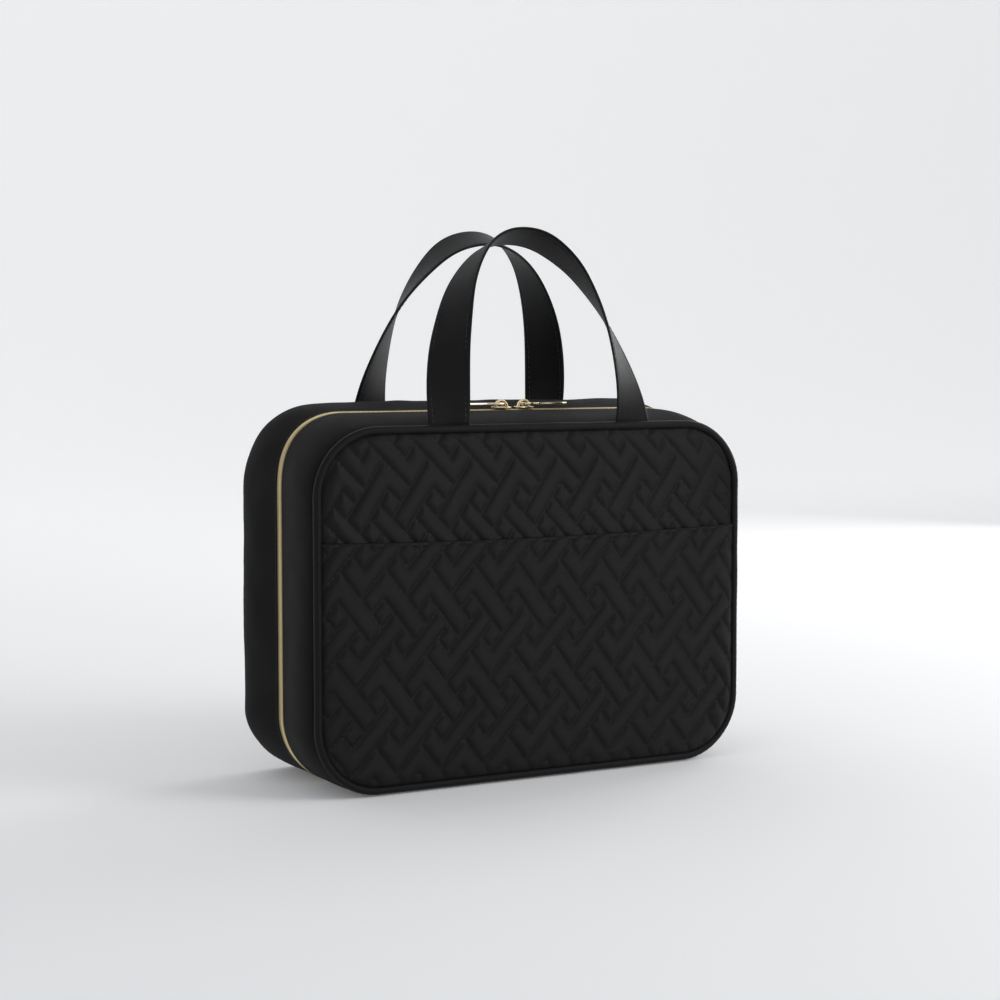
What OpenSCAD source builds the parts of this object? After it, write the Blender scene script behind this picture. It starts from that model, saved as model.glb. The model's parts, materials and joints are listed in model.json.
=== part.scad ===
// Quilted makeup bag: two zipped trays joined by a fabric hinge along the bottom, with two carrying handles.
// +Z is up, the front faces -Y, and the origin is at the middle of the footprint. Units are millimetres.

/* [Body] */
// Width over the piping
body_w = 273; // [230:1:320]
// Height over the piping
piped_h = 199.8; // [170:0.1:240]
// Depth over the two rings of piping
body_d = 101; // [90:1:130]
// Outer corner radius of the panels
corner_r = 38; // [25:1:55]
// How far the front gusset stands proud of the piping at the sides
front_side_rise = 2.5; // [0:0.5:6]
// How far the rear gusset stands proud of the piping at the sides
rear_side_rise = 6; // [0:0.5:9]
// How far the rear gusset stands proud of the piping at the top
rear_top_rise = 11; // [6:0.5:14]
// Height of the zip over the piping at the top
zip_top_rise = 5.8; // [4:0.2:6]
// How far the zip lies inside the piping at the sides
zip_side_drop = 1.3; // [0:0.1:2]
// How far the gusset stands proud of the piping underneath
base_rise = 0.8; // [0.5:0.1:3]
// Thickness of the gusset cloth
gusset_t = 1.4; // [1:0.1:2.5]
// Radius of the piping
piping_r = 2.3; // [1.5:0.1:3.5]
// Height of the front pocket's upper edge
pocket_h = 135; // [100:1:160]

/* [Zip] */
// Plane in which the two halves meet
zip_y = 0; // [-8:1:8]
// Gap between the two coils, which the slider's post runs in
coil_gap = 1.4; // [1.2:0.1:2]
// Width of one coil
coil_w = 1.8; // [1.5:0.1:2.5]
// Height of the coils, which lie no prouder than the cloth
coil_h = 1.4; // [1:0.1:1.4]
// Where the zip ends under the bag, measured from the middle
zip_end_x = 78; // [60:1:90]
// Distance of each closed slider from where the two meet
slider_x = 7.5; // [7:0.5:20]
// Where the two sliders meet, to the right of the middle of the bag
zip_meet_x = 11; // [-20:1:20]
// Length of a pull, from its pivot to its tip
pull_l = 29; // [20:1:40]

/* [Handles] */
// Width of the strap
strap_w = 24; // [18:1:32]
// Thickness of the strap
strap_t = 1.2; // [1:0.1:2.5]
// Half the distance between a handle's two ends
handle_half = 59; // [40:1:80]
// Height of a handle above its sewn ends
handle_rise = 105; // [80:1:150]
// How far the front handle leans over the zip
front_lean = 30; // [0:1:35]
// How far the rear handle leans over the zip
rear_lean = 28; // [0:1:35]
// How far the front handle is sewn to the right of the middle of the bag
front_handle_x = 4.5; // [-10:0.5:10]

/* [Hidden] */
$fn = 48;

corner_steps = 8;
straight_steps = 2;
gusset_steps = 9;
// Power that makes the gusset rise steeply beside the piping
crown_power = 0.6;
// Turn of the sine that shapes the base, which is cut off flat at this share
base_turn = 137;
flat_share = 0.66;
// How far the gusset's edge sits inside the outline, next to the piping
tuck = 2.4;
// Gap left between two layers of cloth
gap = 0.2;
// Half of the width that the gusset leaves free for the coils and the slider
zip_half = 2.8;

base_z = base_rise;
top_z = base_z + piped_h;
piping_y = body_d / 2 - piping_r;
gusset_end_y = piping_y - piping_r - gap;
amp_base = base_rise + tuck;

panel_inset = 2 * piping_r + gap;
panel_t = 3.4;
board_t = 2.2;
lining_t = 0.8;
pocket_t = 1.7;
front_panel_y = 0.9 - body_d / 2;
rear_panel_y = 1 + body_d / 2;

// ---- Outline: stations [x, z, nx, nz] that run anticlockwise from the bottom, seen from the front ----

function arc_station(cx, cz, a) = [cx + corner_r * cos(a), cz + corner_r * sin(a), cos(a), sin(a)];
function corner(cx, cz, a0) = [for (i = [0 : corner_steps]) arc_station(cx, cz, a0 + 90 * i / corner_steps)];
function bottom_run(x0, x1) = [for (i = [0 : straight_steps - 1])
    [x0 + (x1 - x0) * i / straight_steps, base_z, 0, -1]];

corner_x = body_w / 2 - corner_r;
low_z = base_z + corner_r;
high_z = top_z - corner_r;
function corners() = concat(corner(corner_x, low_z, -90), corner(corner_x, high_z, 0),
    corner(-corner_x, high_z, 90), corner(-corner_x, low_z, 180));
closed_path = concat(bottom_run(-corner_x / 2, corner_x), corners());
zip_path = concat([[zip_end_x, base_z, 0, -1]], corners(), [[-zip_end_x, base_z, 0, -1]]);

// ---- Crown: how far the gusset bulges at depth y ----

function depth_share(y) = y > zip_y
    ? (gusset_end_y - y) / (gusset_end_y - zip_y - zip_half)
    : (gusset_end_y + y) / (gusset_end_y + zip_y - zip_half);
// An arch that starts at 0, stands peak high at its top and ends at a given height
function arch(y, peak, end) = peak * sin((180 - asin(end / peak)) * pow(min(1, max(0, depth_share(y))), crown_power));
function side_arch(y) = arch(y, (y > zip_y ? rear_side_rise : front_side_rise) + tuck, tuck - zip_side_drop);
function top_arch(y) = arch(y, (y > zip_y ? rear_top_rise : zip_top_rise) + tuck, zip_top_rise + tuck);
function base_arch(y) = amp_base * min(flat_share, sin(base_turn * min(1, max(0, depth_share(y))))) / flat_share;
function rise(s, y) = side_arch(y) * pow(s[2], 4)
    + (s[3] > 0 ? top_arch(y) * (1 - pow(s[2], 4)) : base_arch(y) * s[3] * s[3]);
// A point of a ring: station s, offset n from the gusset's outer skin and depth y
function skin_point(s, n, y) = let (d = n - tuck + rise(s, y)) [s[0] + d * s[2], y, s[1] + d * s[3]];

// Sweeps a closed profile of [n, y] points along a path. The profile runs clockwise in the n, y plane.
module sweep(path, profile, closed) {
    m = len(path);
    k = len(profile);
    points = [for (s = path) for (p = profile) skin_point(s, p[0], p[1])];
    spans = closed ? m : m - 1;
    sides = [for (i = [0 : spans - 1]) for (j = [0 : k - 1])
        let (a = i * k, b = (i + 1) % m * k, j2 = (j + 1) % k)
        each [[a + j, a + j2, b + j], [a + j2, b + j2, b + j]]];
    end = (m - 1) * k;
    caps = closed ? [] : [for (j = [0 : k / 2 - 2])
        each [[k - 1 - j, k - 2 - j, j + 1, j], [end + j, end + j + 1, end + k - 2 - j, end + k - 1 - j]]];
    polyhedron(points, concat(sides, caps), convexity = 6);
}

// A band of cloth from depth y0 to y1, n0 to n1 below the skin, in a given number of steps
function band(n0, n1, y0, y1, steps) = concat(
    [for (i = [0 : steps]) [n1, y0 + (y1 - y0) * i / steps]],
    [for (i = [steps : -1 : 0]) [n0, y0 + (y1 - y0) * i / steps]]);

// A sweep needs its profile the other way round on the front half, because y runs the other way
function facing(side, profile) = side > 0 ? profile : [for (i = [len(profile) - 1 : -1 : 0]) profile[i]];

module gusset(side) {
    edge_y = zip_y + side * zip_half;
    sweep(closed_path, facing(side, band(-gusset_t, 0, edge_y, side * gusset_end_y, gusset_steps)), true);
}

tape_t = 0.8;
lining_drop = gusset_t + tape_t + 0.5;
lining_y0 = 8;

module lining_side(side) {
    y1 = side * (gusset_end_y - board_t - 2 * gap);
    profile = band(-lining_drop - lining_t, -lining_drop, zip_y + side * lining_y0, y1, 5);
    sweep(closed_path, facing(side, profile), true);
}

// Bias tape that binds the seam between the side lining and the back lining
module binding(side) {
    y1 = side * (lining_back_y - gap - 0.3);
    n0 = -lining_drop - lining_t - gap;
    sweep(closed_path, facing(side, band(n0 - 1, n0, y1 - side * 7, y1, 1)), true);
}

function round_profile(r, cy) = [for (i = [0 : 7]) [tuck - piping_r + r * cos(-45 * i), cy + r * sin(-45 * i)]];

module piping(side) {
    sweep(closed_path, round_profile(piping_r, side * piping_y), true);
}

// The tape runs under the gusset's first two strips
module zip_tape(side) {
    edge_y = zip_y + side * zip_half;
    strip_w = (side * gusset_end_y - edge_y) / gusset_steps;
    ys = [zip_y + side * coil_gap / 2, edge_y, edge_y + strip_w, edge_y + 2 * strip_w];
    n1 = -gusset_t - gap / 2;
    profile = concat([for (y = ys) [n1, y]], [for (i = [len(ys) - 1 : -1 : 0]) [n1 - tape_t, ys[i]]]);
    sweep(zip_path, facing(side, profile), false);
}

module zip_coil(side) {
    y0 = zip_y + side * coil_gap / 2;
    sweep(zip_path, facing(side, band(-gusset_t, coil_h - gusset_t, y0, y0 + side * coil_w, 1)), false);
}

// A flat plate with the outline of the panels, set in from it, from y0 to y1
module plate(inset, y0, y1) {
    w = body_w - 2 * inset;
    h = piped_h - 2 * inset;
    r = corner_r - inset;
    translate([0, y1, base_z + inset])
        rotate([90, 0, 0])
            linear_extrude(y1 - y0)
                union() {
                    translate([-w / 2, r]) square([w, h - 2 * r]);
                    translate([-w / 2 + r, 0]) square([w - 2 * r, h]);
                    for (x = [-w / 2 + r, w / 2 - r], z = [r, h - r]) translate([x, z]) circle(r);
                }
}

// Part of a plate between heights z0 and z1
module plate_band(inset, y0, y1, z0, z1) {
    intersection() {
        plate(inset, y0, y1);
        translate([-body_w / 2, y0 - 1, z0]) cube([body_w, y1 - y0 + 2, z1 - z0]);
    }
}

lining_back_y = gusset_end_y - board_t - 2 * gap;
lining_inset = 7.4;

module front_panel() { color("#1c1c1e") plate(panel_inset, front_panel_y, front_panel_y + panel_t); }
module rear_panel() { color("#1c1c1e") plate(panel_inset, gusset_end_y + gap, rear_panel_y); }
module front_pocket() {
    color("#1d1d20") plate_band(panel_inset, front_panel_y - gap - pocket_t, front_panel_y - gap, 0, pocket_h - hem_h);
}
hem_h = 9;
module front_pocket_hem() {
    color("#202024")
        plate_band(panel_inset, front_panel_y - gap - pocket_t, front_panel_y - gap, pocket_h - hem_h, pocket_h);
}
module front_gusset() { color("#181818") gusset(-1); }
module rear_gusset() { color("#181818") gusset(1); }
module front_piping() { color("#121212") piping(-1); }
module rear_piping() { color("#121212") piping(1); }
module front_board() { color("#d8d4cc") plate(lining_inset, -gusset_end_y, -gusset_end_y + board_t); }
module rear_board() { color("#d8d4cc") plate(lining_inset, gusset_end_y - board_t, gusset_end_y); }
module front_lining_back() { color("#2a2a2c") plate(lining_inset, -lining_back_y, -lining_back_y + lining_t); }
module rear_lining_back() { color("#2a2a2c") plate(lining_inset, lining_back_y - lining_t, lining_back_y); }
module front_lining_side() { color("#2a2a2c") lining_side(-1); }
module rear_lining_side() { color("#2a2a2c") lining_side(1); }
module front_binding() { color("#151515") binding(-1); }
module rear_binding() { color("#151515") binding(1); }
module front_zip_tape() { color("#141414") zip_tape(-1); }
module rear_zip_tape() { color("#141414") zip_tape(1); }
module front_zip_coil() { color("#c9ad6a") zip_coil(-1); }
module rear_zip_coil() { color("#c9ad6a") zip_coil(1); }

// ---- Inside: flat pockets on the back lining of each half ----

inner_y = lining_back_y - lining_t - gap;
inner_pocket_h = 96;
mesh_top = 128;
elastic_h = 14;
elastic_z = 138;
inside_inset = 12;

module front_inner_pocket() {
    color("#2a2a2c") plate_band(inside_inset, -inner_y, -inner_y + 1.2, 0, inner_pocket_h);
}
module front_elastic_band() {
    color("#0e0e0e") plate_band(inside_inset, -inner_y, -inner_y + 1.6, elastic_z, elastic_z + elastic_h * 1.6);
}
module rear_mesh_pocket() {
    color("#1a1a1a") plate_band(inside_inset, inner_y - 0.8, inner_y, 0, mesh_top);
}
module rear_mesh_elastic() {
    color("#0e0e0e") plate_band(inside_inset, inner_y - 1.8, inner_y, mesh_top + gap, mesh_top + elastic_h);
}

// ---- Fabric hinge under the bag, and the tabs that close the zip's ends ----

hinge_half = zip_end_x - 6;
hinge_slit = 0.2;
hinge_edge = zip_half - 0.1;
hinge_inner = 11;
hinge_t = 1;
base_skin = gusset_t + 0.1;

// Half of the hinge tape: it fills the gap between the gussets and is sewn to one of them inside
module hinge_tape(side) {
    translate([-hinge_half, zip_y, 0])
        rotate([90, 0, 90])
            linear_extrude(2 * hinge_half)
                mirror([side > 0 ? 0 : 1, 0])
                    union() {
                        translate([hinge_slit, 0]) square([hinge_edge - hinge_slit, base_skin + hinge_t]);
                        translate([hinge_slit, base_skin]) square([hinge_inner - hinge_slit, hinge_t]);
                    }
}
module front_hinge_tape() { color("#161616") hinge_tape(-1); }
module rear_hinge_tape() { color("#161616") hinge_tape(1); }
module zip_end_tabs() {
    color("#161616")
        for (s = [-1, 1])
            translate([s * (zip_end_x - 3) - 2.5, zip_y - 2.2, 0.2])
                cube([5, 4.4, gusset_t - 0.2]);
}

// ---- Sliders: two plates joined by a post between the coils, with a crown that holds the pull ----

slider_l = 11;
slider_w = 8.4;
plate_t = 1.2;
tail_w = 6.4;
zip_top_z = top_z + zip_top_rise;
lower_z = zip_top_z - gusset_t - gap / 2 - tape_t - 0.3 - plate_t;
upper_z = zip_top_z + 1;
post_w = coil_gap - 0.4;
crown_r = 4.1;
crown_hole_r = 3;
crown_w = 2.4;
pivot_z = upper_z + plate_t + 1.5;
pull_bar_r = 0.8;
pull_t = 1.3;
arm_y = crown_w / 2 + 0.5;
arm_w = 1.3;

// The nose, at +X, is the wide end
module slider_plate(z) {
    translate([0, 0, z])
        linear_extrude(plate_t)
            polygon([[-slider_l / 2, -tail_w / 2], [1, -slider_w / 2], [slider_l / 2 - 1.5, -slider_w / 2],
                [slider_l / 2, -slider_w / 2 + 1.5], [slider_l / 2, slider_w / 2 - 1.5],
                [slider_l / 2 - 1.5, slider_w / 2], [1, slider_w / 2], [-slider_l / 2, tail_w / 2]]);
}

module slider() {
    slider_plate(lower_z);
    slider_plate(upper_z);
    translate([slider_l / 2 - 3.5, -post_w / 2, lower_z + plate_t / 2])
        cube([3, post_w, upper_z - lower_z]);
}

module slider_crown() {
    translate([0, crown_w / 2, upper_z + plate_t])
        rotate([90, 0, 0])
            linear_extrude(crown_w)
                difference() {
                    circle(crown_r);
                    circle(crown_hole_r);
                    translate([-crown_r - 1, -crown_r - 1]) square([2 * crown_r + 2, crown_r + 1]);
                }
}

// The pull lies towards -X, away from the nose
module pull() {
    bar_l = 2 * (arm_y + arm_w);
    translate([0, 0, pivot_z]) {
        translate([0, bar_l / 2, 0]) rotate([90, 0, 0]) cylinder(r = pull_bar_r, h = bar_l);
        translate([0, 0, -pull_t / 2])
            linear_extrude(pull_t)
                union() {
                    for (s = [-1, 1])
                        translate([-crown_r - 2.4, s * (arm_y + arm_w / 2) - arm_w / 2]) square([crown_r + 2.4, arm_w]);
                    difference() {
                        polygon([[-crown_r - 1.4, -arm_y - arm_w], [-crown_r - 1.4, arm_y + arm_w],
                            [-pull_l + 4, 2.2], [-pull_l + 4, -2.2]]);
                        translate([-crown_r - 1, 0]) circle(1);
                    }
                    translate([-pull_l + 3.6, 0]) circle(3.2);
                }
    }
}

module on_zip(side) {
    translate([zip_meet_x + side * slider_x, zip_y, 0]) mirror([side > 0 ? 1 : 0, 0, 0]) children();
}

module left_slider() { color("#d8bd7c") on_zip(-1) slider(); }
module right_slider() { color("#d8bd7c") on_zip(1) slider(); }
module left_crown() { color("#e2c98a") on_zip(-1) slider_crown(); }
module right_crown() { color("#e2c98a") on_zip(1) slider_crown(); }
module left_pull() { color("#e8d29a") on_zip(-1) pull(); }
module right_pull() { color("#e8d29a") on_zip(1) pull(); }

// ---- Handles: a flat strap that twists from facing the front at its sewn ends to facing up at its top ----

handle_steps = 36;
sewn_y = gusset_end_y + gap + strap_t / 2;
sewn_z = top_z + 0.4;
end_turn = 6;
turn_power = 0.88;
top_tilt = -21;

function handle_point(t, lean) = let (a = 180 * t, c = cos(a))
    [-handle_half * sign(c) * pow(abs(c), 0.94),
     sewn_y - lean * pow(sin(a), 1.4),
     sewn_z + handle_rise * pow(sin(a), 1.04)];
function unit(v) = v / norm(v);
function handle_width_dir(t, tangent) = let (s = sin(180 * t),
    turned = end_turn + (90 - end_turn) * pow(s, turn_power),
    f = t < 0.5 ? turned : 180 - turned,
    d = [cos(f), sin(f) * cos(top_tilt * s), -sin(f) * sin(top_tilt * s)])
    unit(d - (d * tangent) * tangent);

module handle(lean) {
    ts = [for (i = [0 : handle_steps]) (i == 0 ? 0 : i == handle_steps ? 1 : 0.5 - 0.5 * cos(180 * i / handle_steps))];
    points = [for (t = ts)
        let (p = handle_point(t, lean),
            tangent = t == 0 ? [0, 0, 1] : t == 1 ? [0, 0, -1]
                : unit(handle_point(min(1, t + 0.002), lean) - handle_point(max(0, t - 0.002), lean)),
            b = t == 0 ? [1, 0, 0] : t == 1 ? [-1, 0, 0] : handle_width_dir(t, tangent),
            n = cross(tangent, b))
        each [p - b * strap_w / 2 - n * strap_t / 2, p + b * strap_w / 2 - n * strap_t / 2,
            p + b * strap_w / 2 + n * strap_t / 2, p - b * strap_w / 2 + n * strap_t / 2]];
    last = handle_steps * 4;
    faces = concat(
        [[3, 2, 1, 0], [last, last + 1, last + 2, last + 3]],
        [for (i = [0 : handle_steps - 1]) for (j = [0 : 3])
            let (a = i * 4, b = a + 4, k = (j + 1) % 4)
            each [[a + j, a + k, b + j], [a + k, b + k, b + j]]]);
    polyhedron(points, faces, convexity = 8);
}

module rear_handle() { color("#19191b") handle(rear_lean); }
module front_handle() { color("#19191b") translate([front_handle_x, 0, 0]) mirror([0, 1, 0]) handle(front_lean); }

front_panel();
front_pocket();
front_pocket_hem();
front_gusset();
front_piping();
front_board();
front_lining_back();
front_lining_side();
front_binding();
front_zip_tape();
front_zip_coil();
front_inner_pocket();
front_elastic_band();
front_handle();
rear_panel();
rear_gusset();
rear_piping();
rear_board();
rear_lining_back();
rear_lining_side();
rear_binding();
rear_zip_tape();
rear_zip_coil();
rear_mesh_pocket();
rear_mesh_elastic();
rear_handle();
front_hinge_tape();
rear_hinge_tape();
zip_end_tabs();
left_slider();
left_crown();
left_pull();
right_slider();
right_crown();
right_pull();
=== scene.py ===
import json
import math

import bmesh
import bpy
import numpy as np
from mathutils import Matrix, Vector


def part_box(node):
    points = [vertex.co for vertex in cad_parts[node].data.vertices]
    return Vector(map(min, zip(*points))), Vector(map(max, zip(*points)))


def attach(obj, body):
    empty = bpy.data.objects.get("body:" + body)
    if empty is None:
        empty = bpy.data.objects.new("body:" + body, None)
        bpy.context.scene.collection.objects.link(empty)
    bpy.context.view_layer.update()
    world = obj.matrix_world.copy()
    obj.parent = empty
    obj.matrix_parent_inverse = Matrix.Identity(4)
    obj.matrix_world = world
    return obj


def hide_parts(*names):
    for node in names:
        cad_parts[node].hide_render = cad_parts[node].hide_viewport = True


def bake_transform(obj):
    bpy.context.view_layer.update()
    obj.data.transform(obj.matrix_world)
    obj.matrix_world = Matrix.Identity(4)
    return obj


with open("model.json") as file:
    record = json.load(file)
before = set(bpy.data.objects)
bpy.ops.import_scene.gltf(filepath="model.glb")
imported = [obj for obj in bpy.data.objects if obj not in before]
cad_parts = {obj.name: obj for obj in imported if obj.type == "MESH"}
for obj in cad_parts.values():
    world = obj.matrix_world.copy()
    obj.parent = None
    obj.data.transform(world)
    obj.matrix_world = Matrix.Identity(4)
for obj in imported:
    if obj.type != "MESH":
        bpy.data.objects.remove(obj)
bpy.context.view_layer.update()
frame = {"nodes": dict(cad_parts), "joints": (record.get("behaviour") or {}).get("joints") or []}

MM = 0.001
UP = np.array((0.0, 0.0, 1.0))
JOINTS = {joint["name"]: joint for joint in frame["joints"]}

# ---------------------------------------------------------------- sizes, from the CAD frame

PIPING_LOW, PIPING_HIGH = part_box("front_piping")
GUSSET_LOW, GUSSET_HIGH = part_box("rear_gusset")
WIDTH = PIPING_HIGH.x - PIPING_LOW.x
BASE_Z, TOP_Z = PIPING_LOW.z, PIPING_HIGH.z
MIDDLE_Z = (BASE_Z + TOP_Z) / 2
PIPING_R = (PIPING_HIGH.y - PIPING_LOW.y) / 2
PIPING_Y = -(PIPING_HIGH.y + PIPING_LOW.y) / 2
GUSSET_END = GUSSET_HIGH.y
GUSSET_T = 1.4 * MM
ZIP_Y = JOINTS["front_half_hinge"]["pos_m"][1]
ZIP_HALF = GUSSET_LOW.y - ZIP_Y
ZIP_END_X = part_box("zip_end_tabs")[1].x
CORNER_R = 38 * MM
TUCK = 2.4 * MM
BASE_TURN = math.radians(137)
CROWN_POWER = 0.6
FLAT_SHARE = 0.66
FRONT_GUSSET_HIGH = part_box("front_gusset")[1]
ZIP_SIDE = TUCK - 1.3 * MM
ZIP_TOP = FRONT_GUSSET_HIGH.z - TOP_Z + TUCK
SIDE_PEAK = (FRONT_GUSSET_HIGH.x - WIDTH / 2 + TUCK, GUSSET_HIGH.x - WIDTH / 2 + TUCK)
TOP_PEAK = (ZIP_TOP, GUSSET_HIGH.z - TOP_Z + TUCK)
BASE_AMP = BASE_Z - GUSSET_LOW.z + TUCK
CORNER_X = WIDTH / 2 - CORNER_R
LOW_Z, HIGH_Z = BASE_Z + CORNER_R, TOP_Z - CORNER_R
WALL_T, TAPE_T, LINING_T = 1.1 * MM, 0.6 * MM, 0.4 * MM
FRONT, REAR = -1, 1
BODY = {FRONT: "front_half", REAR: "root"}
HALF = {FRONT: "front", REAR: "rear"}


# ---------------------------------------------------------------- camera, light and floor

CAMERA_AZIMUTH, CAMERA_ELEVATION = -28.9, 4.2
CAMERA_TARGET = (3.9 * MM, 2.0 * MM, 154.1 * MM)
CAMERA_DISTANCE, CAMERA_LENS = 1.196, 74


def make_camera():
    azimuth, elevation = math.radians(CAMERA_AZIMUTH), math.radians(CAMERA_ELEVATION)
    back = Vector((math.sin(azimuth) * math.cos(elevation), -math.cos(azimuth) * math.cos(elevation),
                   math.sin(elevation)))
    data = bpy.data.cameras.new("camera")
    data.lens = CAMERA_LENS
    camera = bpy.data.objects.new("camera", data)
    camera.location = Vector(CAMERA_TARGET) + back * CAMERA_DISTANCE
    camera.rotation_mode = "QUATERNION"
    camera.rotation_quaternion = (-back).to_track_quat("-Z", "Y")
    bpy.context.scene.collection.objects.link(camera)
    bpy.context.scene.camera = camera


def area_light(name, place, target, size, power):
    data = bpy.data.lights.new(name, "AREA")
    data.shape = "RECTANGLE"
    data.size, data.size_y = size
    data.energy = power
    light = bpy.data.objects.new(name, data)
    light.location = place
    light.rotation_mode = "QUATERNION"
    light.rotation_quaternion = (Vector(target) - Vector(place)).to_track_quat("-Z", "Y")
    bpy.context.scene.collection.objects.link(light)


def make_lights():
    world = bpy.data.worlds.new("studio")
    world.use_nodes = True
    background = world.node_tree.nodes["Background"]
    background.inputs["Color"].default_value = (0.93, 0.94, 0.96, 1)
    background.inputs["Strength"].default_value = 0.58
    bpy.context.scene.world = world
    bpy.context.scene.view_settings.view_transform = "Standard"
    middle = (0, 0, 0.13)
    area_light("key", (1.3, -1.3, 0.9), middle, (0.9, 1.2), 15)
    area_light("side", (1.5, 0.6, 0.5), middle, (0.7, 1.3), 10)
    area_light("fill", (-1.6, -0.7, 0.6), middle, (1.0, 1.4), 1.6)


def make_floor():
    """A pale floor that curves up behind into a wall, and glows a little towards the back."""
    steps, near, far, bend, top, half = 16, -4.0, 2.0, 1.5, 6.0, 6.0
    profile = [(near, 0.0), (far, 0.0)]
    profile += [(far + bend * math.sin(a), bend - bend * math.cos(a))
                for a in (math.pi / 2 * i / steps for i in range(1, steps + 1))]
    profile.append((far + bend, top))
    verts = [(x, y, z) for x in (-half, half) for y, z in profile]
    count = len(profile)
    faces = [(i, i + 1, count + i + 1, count + i) for i in range(count - 1)]
    mesh = bpy.data.meshes.new("floor")
    mesh.from_pydata(verts, [], faces)
    mesh.shade_smooth()
    floor = bpy.data.objects.new("floor", mesh)
    bpy.context.scene.collection.objects.link(floor)
    material = bpy.data.materials.new("floor")
    material.use_nodes = True
    shader = material.node_tree.nodes["Principled BSDF"]
    shader.inputs["Base Color"].default_value = (0.86, 0.865, 0.875, 1)
    shader.inputs["Roughness"].default_value = 0.8
    shader.inputs["Emission Color"].default_value = (1, 1, 1, 1)
    nodes, links = material.node_tree.nodes, material.node_tree.links
    place, parts, glow = (nodes.new(kind) for kind in
                          ("ShaderNodeNewGeometry", "ShaderNodeSeparateXYZ", "ShaderNodeMapRange"))
    glow.interpolation_type = "SMOOTHSTEP"
    for socket, value in (("From Min", -0.6), ("From Max", 2.2), ("To Min", 0.06), ("To Max", 0.27)):
        glow.inputs[socket].default_value = value
    links.new(place.outputs["Position"], parts.inputs["Vector"])
    links.new(parts.outputs["Y"], glow.inputs["Value"])
    links.new(glow.outputs["Result"], shader.inputs["Emission Strength"])
    mesh.materials.append(material)


# ---------------------------------------------------------------- materials

class Graph:
    """A material's nodes, with short calls to add and join them."""

    def __init__(self, name, colour, roughness, metallic=0.0, sheen=0.0, specular=0.5):
        self.material = bpy.data.materials.new(name)
        self.material.use_nodes = True
        self.nodes = self.material.node_tree.nodes
        self.links = self.material.node_tree.links
        self.shader = self.nodes["Principled BSDF"]
        for socket, value in (("Base Color", (*colour, 1)), ("Roughness", roughness), ("Metallic", metallic),
                              ("Specular IOR Level", specular), ("Sheen Weight", sheen),
                              ("Sheen Roughness", 0.4)):
            self.shader.inputs[socket].default_value = value

    def add(self, kind, **settings):
        node = self.nodes.new(kind)
        for key, value in settings.items():
            setattr(node, key, value)
        return node

    def join(self, source, target):
        self.links.new(source, target)

    def math(self, operation, a, b=None):
        node = self.add("ShaderNodeMath", operation=operation)
        for socket, value in zip(node.inputs, (a, b)):
            if value is None:
                continue
            if isinstance(value, (int, float)):
                socket.default_value = value
            else:
                self.join(value, socket)
        return node.outputs[0]

    def noise(self, vector, scale, detail=2.0):
        node = self.add("ShaderNodeTexNoise")
        node.inputs["Scale"].default_value = scale
        node.inputs["Detail"].default_value = detail
        self.join(vector, node.inputs["Vector"])
        return node.outputs[0]

    def ramp(self, value, low, high, steps):
        """Maps value from low..high to steps[0]..steps[1], clamped."""
        node = self.add("ShaderNodeMapRange")
        for socket, number in zip(("From Min", "From Max", "To Min", "To Max"), (low, high, *steps)):
            node.inputs[socket].default_value = number
        self.join(value, node.inputs["Value"])
        return node.outputs[0]

    def tint(self, colour, value):
        """The colour times value, into the base colour."""
        node = self.add("ShaderNodeVectorMath", operation="SCALE")
        node.inputs[0].default_value = colour
        self.join(value, node.inputs["Scale"])
        self.join(node.outputs[0], self.shader.inputs["Base Color"])

    def bump(self, height, distance, strength=1.0, under=None):
        node = self.add("ShaderNodeBump")
        node.inputs["Strength"].default_value = strength
        node.inputs["Distance"].default_value = distance
        self.join(height, node.inputs["Height"])
        if under is not None:
            self.join(under, node.inputs["Normal"])
        self.join(node.outputs[0], self.shader.inputs["Normal"])
        return node.outputs[0]


def cloth(name, colour, roughness, pitch, relief, sheen, painted_glints=0.0, twill=False):
    """Woven cloth. Its threads follow the UV map "cloth", which is in metres."""
    g = Graph(name, colour, roughness, sheen=sheen, specular=0.14)
    uv = g.add("ShaderNodeUVMap", uv_map="cloth").outputs[0]
    place = g.add("ShaderNodeTexCoord").outputs["Object"]
    split = g.add("ShaderNodeSeparateXYZ")
    g.join(uv, split.inputs[0])
    turn = 2 * math.pi / pitch
    along, across = g.math("MULTIPLY", split.outputs[0], turn), g.math("MULTIPLY", split.outputs[1], turn)
    if twill:
        weave = g.math("SINE", g.math("ADD", along, across))
        threads = g.math("SINE", g.math("MULTIPLY", across, 2.0))
        weave = g.math("ADD", weave, g.math("MULTIPLY", threads, 0.35))
    else:
        weave = g.math("MULTIPLY", g.math("SINE", along), g.math("SINE", across))
    soft = g.noise(place, 45, 3)
    fine = g.noise(uv, 900, 2)
    # The weave term makes the raised threads lighter and the hollows between them darker: painted shade of
    # the weave's relief, on top of its bump. The soft term is the cloth's own uneven tone.
    shade = g.math("ADD", g.ramp(soft, 0.3, 0.7, (0.88, 1.12)), g.ramp(weave, -1, 1, (-0.10, 0.10)))
    # Bright flecks lighten the colour in small spots: painted glints of the fibres.
    if painted_glints:
        shade = g.math("ADD", shade, g.ramp(fine, 0.56, 0.74, (0, painted_glints)))
    g.tint(colour, shade)
    g.join(g.ramp(fine, 0.3, 0.7, (roughness - 0.05, roughness + 0.07)), g.shader.inputs["Roughness"])
    crease = g.bump(g.noise(place, 160, 3), 0.5 * MM, 0.25)
    g.bump(weave, relief, 0.8, under=crease)
    return g.material


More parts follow.
